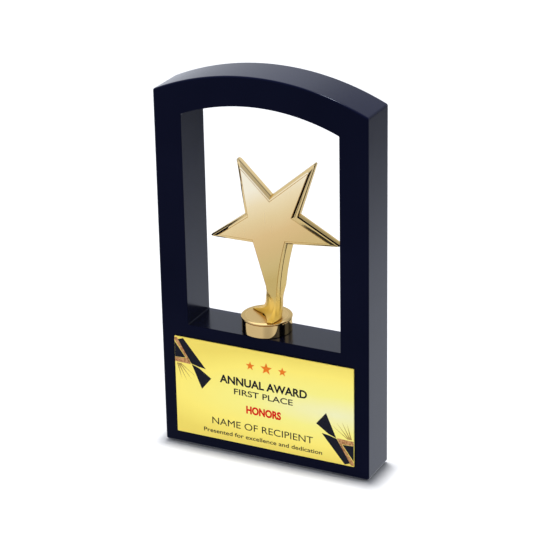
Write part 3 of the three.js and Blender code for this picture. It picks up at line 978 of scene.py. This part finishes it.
# The camera stands to the right of the front, looks down a little and is rolled slightly. It aims at a
# share of the trophy's height, a little in front of the middle.
CAMERA_AZIMUTH = math.radians(26.51)
CAMERA_ELEVATION = math.radians(22.75)
CAMERA_ROLL = math.radians(-1.16)
CAMERA_DISTANCE = 1.33
CAMERA_LENS = 149.2
CAMERA_SENSOR = 36
AIM_HEIGHT = 0.515
AIM_DEPTH = -0.0076

# The overhead light, a little to the left and behind, so that the shadow falls to the front and right
OVERHEAD_PLACE = (-0.025, 0.068)
OVERHEAD_HEIGHT = 4
OVERHEAD_SIZE = 0.16
OVERHEAD_POWER = 290
FLOOR_RADIUS = 9


def camera():
    """A long lens that looks at the trophy from the front right, from a little above."""
    data = bpy.data.cameras.new("camera")
    data.lens = CAMERA_LENS
    data.sensor_width = CAMERA_SENSOR
    data.clip_start = 0.05
    made = bpy.data.objects.new("camera", data)
    bpy.context.scene.collection.objects.link(made)
    back = Vector((
        math.sin(CAMERA_AZIMUTH) * math.cos(CAMERA_ELEVATION),
        -math.cos(CAMERA_AZIMUTH) * math.cos(CAMERA_ELEVATION),
        math.sin(CAMERA_ELEVATION)))
    right = Vector((0, 0, 1)).cross(back).normalized()
    up = back.cross(right)
    right, up = (right * math.cos(CAMERA_ROLL) + up * math.sin(CAMERA_ROLL),
                 up * math.cos(CAMERA_ROLL) - right * math.sin(CAMERA_ROLL))
    aim = Vector((0, AIM_DEPTH, cad_high.z * AIM_HEIGHT))
    turn = Matrix((right, up, back)).transposed()
    made.matrix_world = Matrix.Translation(aim + back * CAMERA_DISTANCE) @ turn.to_4x4()
    bpy.context.scene.camera = made


def softbox(name, place, aim, size, power):
    """A square light that the camera doesn't see."""
    data = bpy.data.lights.new(name, "AREA")
    data.shape = "SQUARE"
    data.size = size
    data.energy = power
    made = bpy.data.objects.new(name, data)
    made.location = place
    made.rotation_euler = (Vector(aim) - Vector(place)).to_track_quat("-Z", "Y").to_euler()
    made.visible_camera = False
    bpy.context.scene.collection.objects.link(made)


def floor():
    """A plain pale floor, which the gold and the paint don't mirror."""
    bm = bmesh.new()
    bmesh.ops.create_circle(bm, cap_ends=True, segments=96, radius=FLOOR_RADIUS)
    made = Shader("floor")
    grain = made.noise(30, 4)
    made.set(Base_Color=made.ramp(grain, [(0.3, (0.41, 0.41, 0.414)), (0.7, (0.43, 0.43, 0.434))]),
             Roughness=0.8)
    plane = link("floor", bm, [made.material])
    plane.visible_glossy = False


def heading(azimuth, elevation):
    """A direction: the azimuth runs from the back (0) over the right (90) to the front (180)."""
    azimuth = math.radians(azimuth)
    elevation = math.radians(elevation)
    return (math.sin(azimuth) * math.cos(elevation), math.cos(azimuth) * math.cos(elevation),
            math.sin(elevation))


# The room's even light, and its tint
ROOM_LIGHT = 0.98
ROOM_TINT = (0.94, 0.98, 1.07, 1)

# Soft lights and shades of the room round the trophy: azimuth, elevation, the angles from the middle
# where each starts to fade and ends, and how much light it adds.
ROOM = [
    ("front_floor", 150, -36, 8, 28, -0.30),
    ("behind_floor", 4, -26, 5, 14, -0.12),
    ("back_shade", 26, -10, 7, 15, -0.90),
    ("side_shade", 30, 17, 7, 16, -0.60),
    ("back_sky", 10, 42, 5, 30, -0.50),
    ("left_sky", 333, 20, 10, 30, -0.16),
    ("right_card", 128, 25, 8, 24, -0.48),
    ("high_card", 333, 48, 8, 16, 1.2),
    ("underneath", 0, -90, 14, 28, -0.85),
]


def soft_light(tree, where, name, azimuth, elevation, inner, outer, gain):
    """Light that fades away from one direction. With a gain below 0 it is a shade."""
    toward = tree.nodes.new("ShaderNodeVectorMath")
    toward.operation = "DOT_PRODUCT"
    toward.inputs[1].default_value = heading(azimuth, elevation)
    tree.links.new(where, toward.inputs[0])
    fade = tree.nodes.new("ShaderNodeMapRange")
    fade.name = name
    fade.interpolation_type = "SMOOTHSTEP"
    fade.inputs["From Min"].default_value = math.cos(math.radians(outer))
    fade.inputs["From Max"].default_value = math.cos(math.radians(inner))
    fade.inputs["To Max"].default_value = gain
    tree.links.new(toward.outputs["Value"], fade.inputs["Value"])
    return fade.outputs["Result"]


def room():
    """A pale room as the world: an even light with the soft lights and shades on top."""
    world = bpy.data.worlds.new("room")
    world.use_nodes = True
    tree = world.node_tree
    where = tree.nodes.new("ShaderNodeTexCoord").outputs["Generated"]
    light = None
    for spot in ROOM:
        add = tree.nodes.new("ShaderNodeMath")
        tree.links.new(soft_light(tree, where, *spot), add.inputs[0])
        if light:
            tree.links.new(light, add.inputs[1])
        else:
            add.inputs[1].default_value = ROOM_LIGHT
        light = add.outputs["Value"]
    background = tree.nodes["Background"]
    background.inputs["Color"].default_value = ROOM_TINT
    tree.links.new(light, background.inputs["Strength"])
    bpy.context.scene.world = world


def studio():
    """The pale room, one small light overhead for the shadow at the frame's foot, and the floor."""
    bpy.context.scene.view_settings.view_transform = "Standard"
    room()
    across, back = OVERHEAD_PLACE
    softbox("overhead", (across, back, OVERHEAD_HEIGHT), (across, back, 0), OVERHEAD_SIZE, OVERHEAD_POWER)
    floor()


# ---------------------------------------------------------------- all of it

def finish_cad_nodes():
    """Materials for the pieces that keep their CAD shape, most of them out of sight."""
    for name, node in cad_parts.items():
        if "dowel" in name or "block" in name or name == "bottom_board":
            finish = WOOD
        elif "screw" in name or "bolt" in name:
            finish = STEEL
        elif name == "felt_pad":
            finish = FELT
        elif name == "plate_adhesive":
            finish = TAPE
        else:
            continue
        node.data.materials.clear()
        node.data.materials.append(finish)


camera()
studio()
finish_cad_nodes()
painted_frame()
star_figure()
star_disc()
nameplate()
plate_print()
